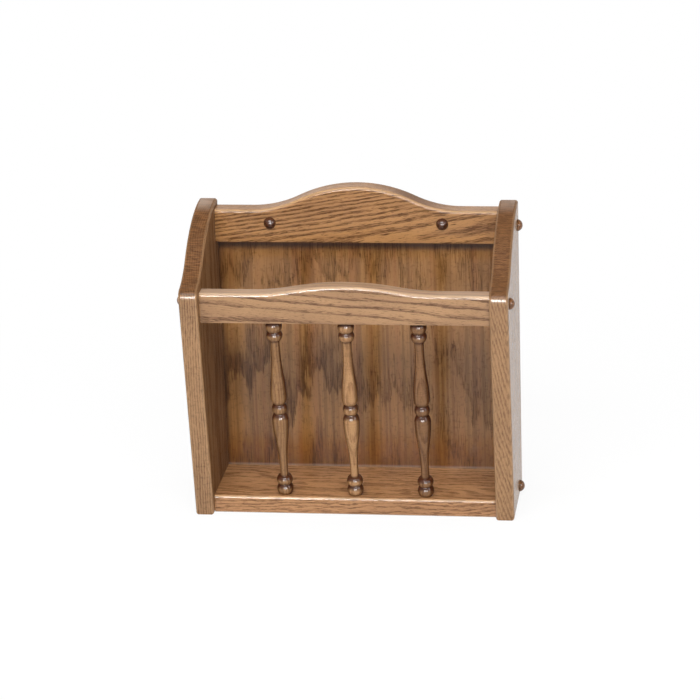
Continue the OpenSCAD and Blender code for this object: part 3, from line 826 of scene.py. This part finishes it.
# %% [markdown]
# ## Buttons
# Eight domed buttons close the counterbores over the screws. A button is turned too: a dome with a
# small rounded rim, a flat seat and a short stem with a chamfer. A squashed sphere would have
# neither rim nor stem. The two on the crest rail pull out to reach the wall screws, so the stem is
# modelled as carefully as the dome.

# %% Button surface
BUTTON_R, BUTTON_H = 6.35, 5.2
STEM_R, STEM_LEN, STEM_CHAMFER = 4.71, 6.35, 0.6
RIM_H, RIM_BULGE, RIM_TUCK = 0.5, 0.12, 0.35
# A ring this far below the seat keeps the corner between seat and stem crisp
CRISP = 0.2
DOME_RINGS, RIM_RINGS = 40, 8
TURN = np.linspace(0, 2 * np.pi, 48, endpoint=False)


def button_profile():
    """(r, h) from the top of the dome over the rim to the seat, then down the stem to its end.

    The dome is an arc down to the rim's height; the rim bulges by a half sine and tucks in.
    """
    arc = bow(BUTTON_R, BUTTON_H)
    angle = np.linspace(0, np.arcsin(BUTTON_R / arc), DOME_RINGS)
    dome_r, dome_h = arc * np.sin(angle), BUTTON_H - arc + arc * np.cos(angle)
    above_rim = dome_h > RIM_H
    dome_r, dome_h = dome_r[above_rim], dome_h[above_rim]
    u = np.linspace(0, 1, RIM_RINGS)[1:]
    rim_r = dome_r[-1] + RIM_BULGE * np.sin(np.pi * u) - RIM_TUCK * u ** 2
    rim_h = dome_h[-1] * np.cos(np.pi / 2 * u)
    stem_r = (STEM_R, STEM_R, STEM_R, STEM_R - STEM_CHAMFER, 0.0)
    stem_h = (0.0, -CRISP, STEM_CHAMFER - STEM_LEN, -STEM_LEN, -STEM_LEN)
    return np.concatenate((dome_r, rim_r, stem_r)), np.concatenate((dome_h, rim_h, stem_h))


def lathe_points(r, h, seat_mm, out):
    """Rings P(k, a) = seat + h out + r (cos a, sin a) across out.

    r and h are given by ring, or by ring and turn.
    """
    r, h = (np.reshape(v, (len(v), -1, 1)) for v in (r, h))
    out = np.array(out, float)
    first = np.array((0.0, 0.0, 1.0))
    second = np.cross(first, out)
    rings = r * (np.cos(TURN)[:, None] * first + np.sin(TURN)[:, None] * second)
    return (np.array(seat_mm) + h * out + rings) * MM


print("rings of a button:", len(button_profile()[0]))

# %% Button finish
LINE, LINE_EDGE, LINE_SHADE = (9, 0.8), (-0.12, 0.16), 0.4
BUTTON_PORE, BUTTON_PORE_STAIN = (3, 0.3), 0.5
BUTTON_DARK = srgb(36, 18, 12)
BUTTON_BUMP = {"Strength": 0.15, "Distance": 0.0002}
BUTTON_ROUGH, BUTTON_PORE_ROUGH = 0.36, 0.15
BUTTON_COAT = {"Coat Weight": 0.9, "Coat Roughness": 0.08}


def button_finish(name, tone, turn, heart):
    """Stain of a tone under a glossier lacquer, with a faint grain."""
    material, pen = new_material(name)
    wood = place_mm(pen, heart, turn)
    lines = wood.noise(*LINE, 3).step(*LINE_EDGE)
    pores = wood.noise(*BUTTON_PORE, 1).step(*PORE_EDGE)
    colour = lines.mix(tone, shade(tone, LINE_SHADE))
    colour = (pores * BUTTON_PORE_STAIN).mix(colour, BUTTON_DARK)
    bump = pen.node("Bump", None, {**BUTTON_BUMP, "Height": pores * -1.0})
    roughness = BUTTON_ROUGH + pores * BUTTON_PORE_ROUGH
    coat_with(pen, {"Base Color": colour, "Roughness": roughness, "Normal": bump,
                    "Specular IOR Level": DIM_SPECULAR, **BUTTON_COAT})
    return material


print("button grain of", LINE, "mm under lacquer", BUTTON_COAT)

# %% Eight buttons
WALL_TONE, SIDE_TONE = srgb(80, 46, 26), srgb(128, 84, 48)
# Turn of the grain in degrees and place in the log in mm, mirrored from hand to hand
WALL_TURN, WALL_HEART = 20, 50
SIDE_TURN, SIDE_TILT, SIDE_HEART = 70, 15, 30
WALL_SCREW_X = 88.9
CREST_FOOT, CREST_H = 270.15, 34.1
RAIL_SCREW_LIFT, SHELF_SCREW_DEPTH = 20.5, 28.0
HANDS = (("left", -1), ("right", 1))
half_w = INNER_W / 2 + BOARD_T
# Y and Z of the buttons and screws in each side, by the board that they hold
SEATS = {
    "crest": (-BOARD_T / 2, CREST_FOOT - WALL_SCREW_Z + CREST_H / 2),
    "rail": (-HEAD[0], HEAD[1] - WALL_SCREW_Z + RAIL_SCREW_LIFT),
    "shelf": (-SHELF_SCREW_DEPTH, BOARD_T / 2 - WALL_SCREW_Z),
}
for hand, s in HANDS:
    finish = button_finish("button_wood_wall_" + hand, WALL_TONE, (0, WALL_TURN * s, 0),
                           (WALL_HEART * s, 0, 0))
    points = lathe_points(*button_profile(), (s * WALL_SCREW_X, -BOARD_T, 0.0), (0, -1, 0))
    grid_piece("wall_cap_" + hand, points, hand + "_wall_button", "wall_button_" + hand,
               finish)
    for row, (y, z) in SEATS.items():
        finish = button_finish(f"button_wood_{row}_{hand}", SIDE_TONE,
                               (0, SIDE_TURN, SIDE_TILT * s), (SIDE_HEART * s, y, z))
        points = lathe_points(*button_profile(), (s * half_w, y, z), (s, 0, 0))
        grid_piece(f"{row}_cap_{hand}", points, "rack", f"{row}_button_{hand}", finish)
print("buttons:", len(HANDS) * (1 + len(SEATS)))

# %% [markdown]
# ## Zinc
# The wood screws lie under the buttons, and brads hold the panel at the back, where only their
# small heads show. Both are zinc plated, a pale metal whose crystals change colour and roughness in
# small patches. A picture could show that too, but noise in mm needs no file and no unwrapping.

# %% Zinc
ZINC_PALE, ZINC_GREY = srgb(196, 190, 176), srgb(166, 162, 152)
ZINC_PATCH, ZINC_EDGE = (2.5, 2.5), (-0.15, 0.15)
ZINC_ROUGH, PATCH_ROUGH = 0.28, 0.2

zinc, pen = new_material("zinc_plate")
patch = place_mm(pen).noise(*ZINC_PATCH, 3).step(*ZINC_EDGE)
coat_with(pen, {"Base Color": patch.mix(ZINC_PALE, ZINC_GREY),
                "Roughness": ZINC_ROUGH + patch * PATCH_ROUGH, "Metallic": 1.0})
steel_nodes = [n for n in nodes if n.endswith(("screw_left", "screw_right", "brads"))]
for name in steel_nodes:
    for slot in nodes[name].material_slots:
        slot.material = zinc
print("zinc:", steel_nodes)

# %% [markdown]
# ## Wood screws
# Six screws under the side buttons pull the sides against the rails and the shelf. Each has a flat
# head with a cross recess, a bare shank and a coarse thread that runs out to a point. A ridge swept
# along a helix would have to be joined to the shank, so here the thread is part of the surface: the
# radius depends on the depth and on the turn, and the ridge moves by one pitch in a full turn.

# %% Screw surface
SHANK_R, HEAD_R, HEAD_H, SCREW_LEN, POINT_LEN = 2.08, 4.1, 2.4, 31.75, 5.0
HEAD_RIM, HEAD_CHAMFER = 0.15, 0.1
# The cross recess: half its span, half its slot's width, depth, and the slope of walls and ends
RECESS_HALF, SLOT_HALF, RECESS_H = 2.1, 0.45, 1.6
WALL_SLOPE, END_SLOPE = 0.4, 0.3
# The thread: pitch, start, half a ridge as a part of the pitch, and the root as a part of the shank
THREAD_PITCH, THREAD_FROM, RIDGE_HALF, ROOT = 2.2, 11.0, 0.25, 0.68
FACE_RINGS, CONE_RINGS, SHANK_RINGS, RINGS_PER_PITCH = 30, 6, 4, 12


def screw_rings():
    """Radius and height by ring and turn: recessed head, cone, shank, and the thread to the point.

    The recess falls to its depth within both arms of a cross. The thread's radius is the shank's,
    times the root where fraction(depth / pitch - turn) is far from a half, times the point's taper.
    """
    flat = np.linspace(0.0, HEAD_R - HEAD_RIM, FACE_RINGS)
    x, y = np.abs(np.outer(flat, np.cos(TURN))), np.abs(np.outer(flat, np.sin(TURN)))
    recess = (np.clip((SLOT_HALF - np.minimum(x, y)) / WALL_SLOPE, 0, 1)
              * np.clip((RECESS_HALF - np.maximum(x, y)) / END_SLOPE, 0, 1))
    under_head = np.linspace(HEAD_CHAMFER, HEAD_H, CONE_RINGS)
    shank = np.linspace(HEAD_H, THREAD_FROM, SHANK_RINGS)[1:]
    threaded = np.arange(THREAD_FROM, SCREW_LEN, THREAD_PITCH / RINGS_PER_PITCH)[1:]
    depth = np.concatenate((under_head, shank, threaded))[:, None]
    cone = np.maximum(SHANK_R, HEAD_R - (HEAD_R - SHANK_R) * depth / HEAD_H)
    point = np.clip((SCREW_LEN - depth) / POINT_LEN, 0, 1)
    phase = (depth / THREAD_PITCH - TURN / (2 * np.pi)) % 1
    ridge = np.clip(1 - np.abs(phase - 0.5) / RIDGE_HALF, 0, 1)
    sunk = (1 - ROOT) * np.clip((depth - THREAD_FROM) / THREAD_PITCH, 0, 1) * (1 - ridge)
    around = np.ones_like(TURN)
    r = np.concatenate((np.outer(flat, around), cone * point * (1 - sunk), 0 * around[None]))
    h = np.concatenate((-RECESS_H * recess, -depth * around, -SCREW_LEN * around[None]))
    return r, h


print("rings of a screw:", len(screw_rings()[0]))

# %% Six screws
COUNTERBORE = 9.5

for hand, s in HANDS:
    for row, (y, z) in SEATS.items():
        seat = (s * (half_w - COUNTERBORE), y, z)
        grid_piece(f"{row}_wood_screw_{hand}", lathe_points(*screw_rings(), seat, (s, 0, 0)),
                   "rack", f"{row}_screw_{hand}", zinc)
print("screws:", len(HANDS) * len(SEATS))

# %% [markdown]
# ## Finish
